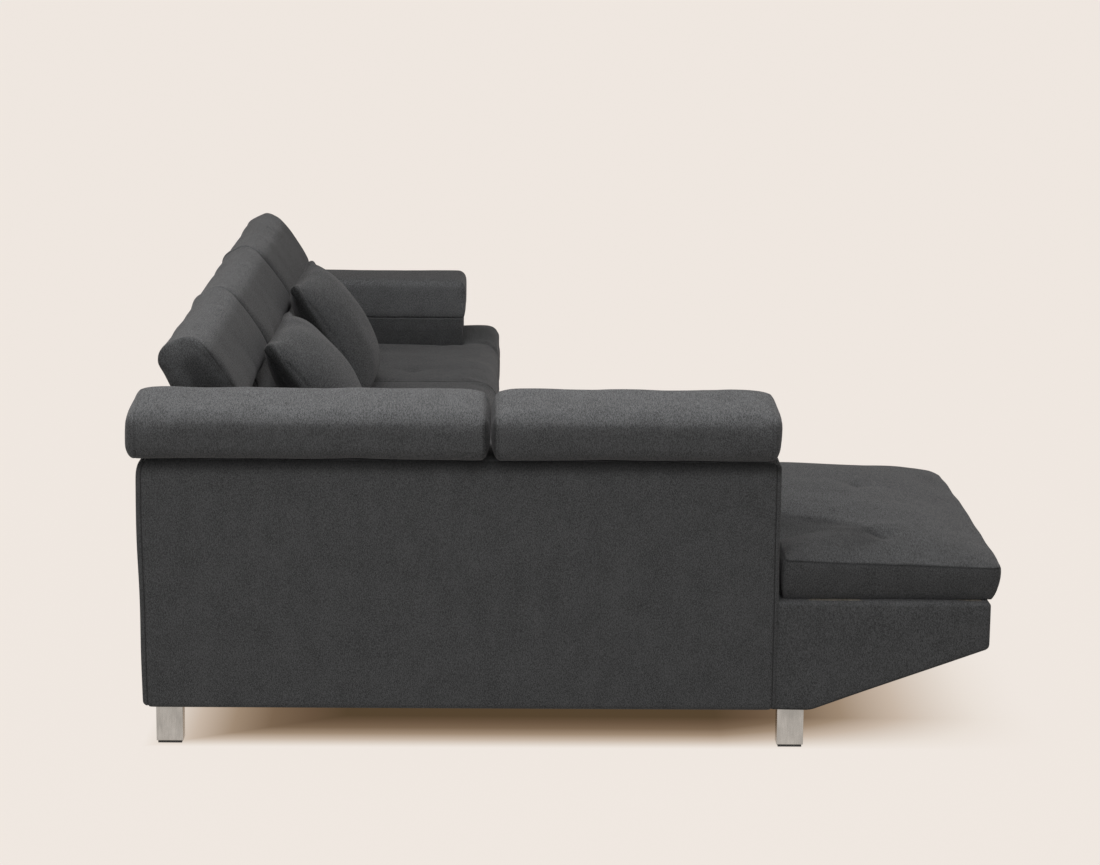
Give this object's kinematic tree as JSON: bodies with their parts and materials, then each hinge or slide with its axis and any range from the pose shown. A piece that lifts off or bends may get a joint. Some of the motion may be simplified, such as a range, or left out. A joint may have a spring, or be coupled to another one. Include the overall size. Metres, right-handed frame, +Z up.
{
  "type": "sectional sofa with chaise",
  "caption": "L-shaped upholstered sofa with a chaise seat, tilting headrests, side pads and arm pad, on square metal legs.",
  "frame": {"origin": "middle of the overall box, on the floor", "axes": "+X along the row from the chaise side to the far arm, -Y is the way a sitter faces, +Z up"},
  "size_m": [2.684, 1.74, 0.7852],
  "materials": {
    "charcoal_fabric": "heathered woven upholstery",
    "timber": "sawn pine and plywood",
    "webbing": "woven elastic strap",
    "lining_cloth": "thin spun lining",
    "leg_metal": "brushed",
    "glide_plastic": "matt",
    "hinge_steel": "dark coated steel"
  },
  "bodies": {
    "sofa_body": {"chaise_side_wall": "charcoal_fabric", "chaise_back_wall": "charcoal_fabric", "sofa_back_wall": "charcoal_fabric", "arm_wall": "charcoal_fabric", "chaise_base_cover": "charcoal_fabric", "sofa_base_cover": "charcoal_fabric", "chaise_seat_cushion": "charcoal_fabric", "middle_seat_cushion": "charcoal_fabric", "far_seat_cushion": "charcoal_fabric", "chaise_side_frame": "timber", "chaise_back_frame": "timber", "sofa_back_frame": "timber", "arm_frame": "timber", "chaise_base_frame": "timber", "sofa_base_frame": "timber", "chaise_spring_net": "webbing", "sofa_spring_net": "webbing", "chaise_dust_cover": "lining_cloth", "sofa_dust_cover": "lining_cloth", "chaise_leg_rear_outer": "leg_metal", "chaise_leg_rear_inner": "leg_metal", "chaise_leg_front_outer": "leg_metal", "chaise_leg_front_inner": "leg_metal", "sofa_leg_rear_outer": "leg_metal", "sofa_leg_rear_inner": "leg_metal", "sofa_leg_front_outer": "leg_metal", "sofa_leg_front_inner": "leg_metal", "chaise_glide_rear_outer": "glide_plastic", "chaise_glide_rear_inner": "glide_plastic", "chaise_glide_front_outer": "glide_plastic", "chaise_glide_front_inner": "glide_plastic", "sofa_glide_rear_outer": "glide_plastic", "sofa_glide_rear_inner": "glide_plastic", "sofa_glide_front_outer": "glide_plastic", "sofa_glide_front_inner": "glide_plastic", "chaise_connector": "hinge_steel", "sofa_connector": "hinge_steel", "side_pad_rear_hinge_bracket": "hinge_steel", "side_pad_front_hinge_bracket": "hinge_steel", "headrest_1_hinge_bracket": "hinge_steel", "headrest_2_hinge_bracket": "hinge_steel", "headrest_3_hinge_bracket": "hinge_steel", "arm_pad_hinge_bracket": "hinge_steel"},
    "side_pad_rear": {"side_pad_rear": "charcoal_fabric", "side_pad_rear_hinge_frame": "hinge_steel"},
    "side_pad_front": {"side_pad_front": "charcoal_fabric", "side_pad_front_hinge_frame": "hinge_steel"},
    "headrest_1": {"headrest_1": "charcoal_fabric", "headrest_1_hinge_frame": "hinge_steel"},
    "headrest_2": {"headrest_2": "charcoal_fabric", "headrest_2_hinge_frame": "hinge_steel"},
    "headrest_3": {"headrest_3": "charcoal_fabric", "headrest_3_hinge_frame": "hinge_steel"},
    "arm_pad": {"arm_pad": "charcoal_fabric", "arm_pad_hinge_frame": "hinge_steel"},
    "throw_pillow_near": {"throw_pillow_near": "charcoal_fabric"},
    "throw_pillow_far": {"throw_pillow_far": "charcoal_fabric"}
  },
  "joints": [
    {"name": "side_pad_rear_tilt", "type": "hinge", "parent": "sofa_body", "child": "side_pad_rear", "pos_m": [-1.181, 0.512, 0.631], "axis": [0, 1, 0], "range_deg": [0, 80]},
    {"name": "side_pad_front_tilt", "type": "hinge", "parent": "sofa_body", "child": "side_pad_front", "pos_m": [-1.181, -0.1365, 0.631], "axis": [0, 1, 0], "range_deg": [0, 80]},
    {"name": "headrest_1_tilt", "type": "hinge", "parent": "sofa_body", "child": "headrest_1", "pos_m": [-0.696, 0.75, 0.631], "axis": [1, 0, 0], "range_deg": [-64, 16]},
    {"name": "headrest_2_tilt", "type": "hinge", "parent": "sofa_body", "child": "headrest_2", "pos_m": [0.021, 0.75, 0.631], "axis": [1, 0, 0], "range_deg": [-64, 16]},
    {"name": "headrest_3_tilt", "type": "hinge", "parent": "sofa_body", "child": "headrest_3", "pos_m": [0.738, 0.75, 0.631], "axis": [1, 0, 0], "range_deg": [-64, 16]},
    {"name": "arm_pad_tilt", "type": "hinge", "parent": "sofa_body", "child": "arm_pad", "pos_m": [1.15, 0.451, 0.535], "axis": [0, -1, 0], "range_deg": [0, 80]},
    {"name": "throw_pillow_near_lift", "type": "slide", "parent": "sofa_body", "child": "throw_pillow_near", "axis": [0, 0, 1], "range_m": [0, 0.35]},
    {"name": "throw_pillow_far_lift", "type": "slide", "parent": "sofa_body", "child": "throw_pillow_far", "axis": [0, 0, 1], "range_m": [0, 0.35]}
  ]
}
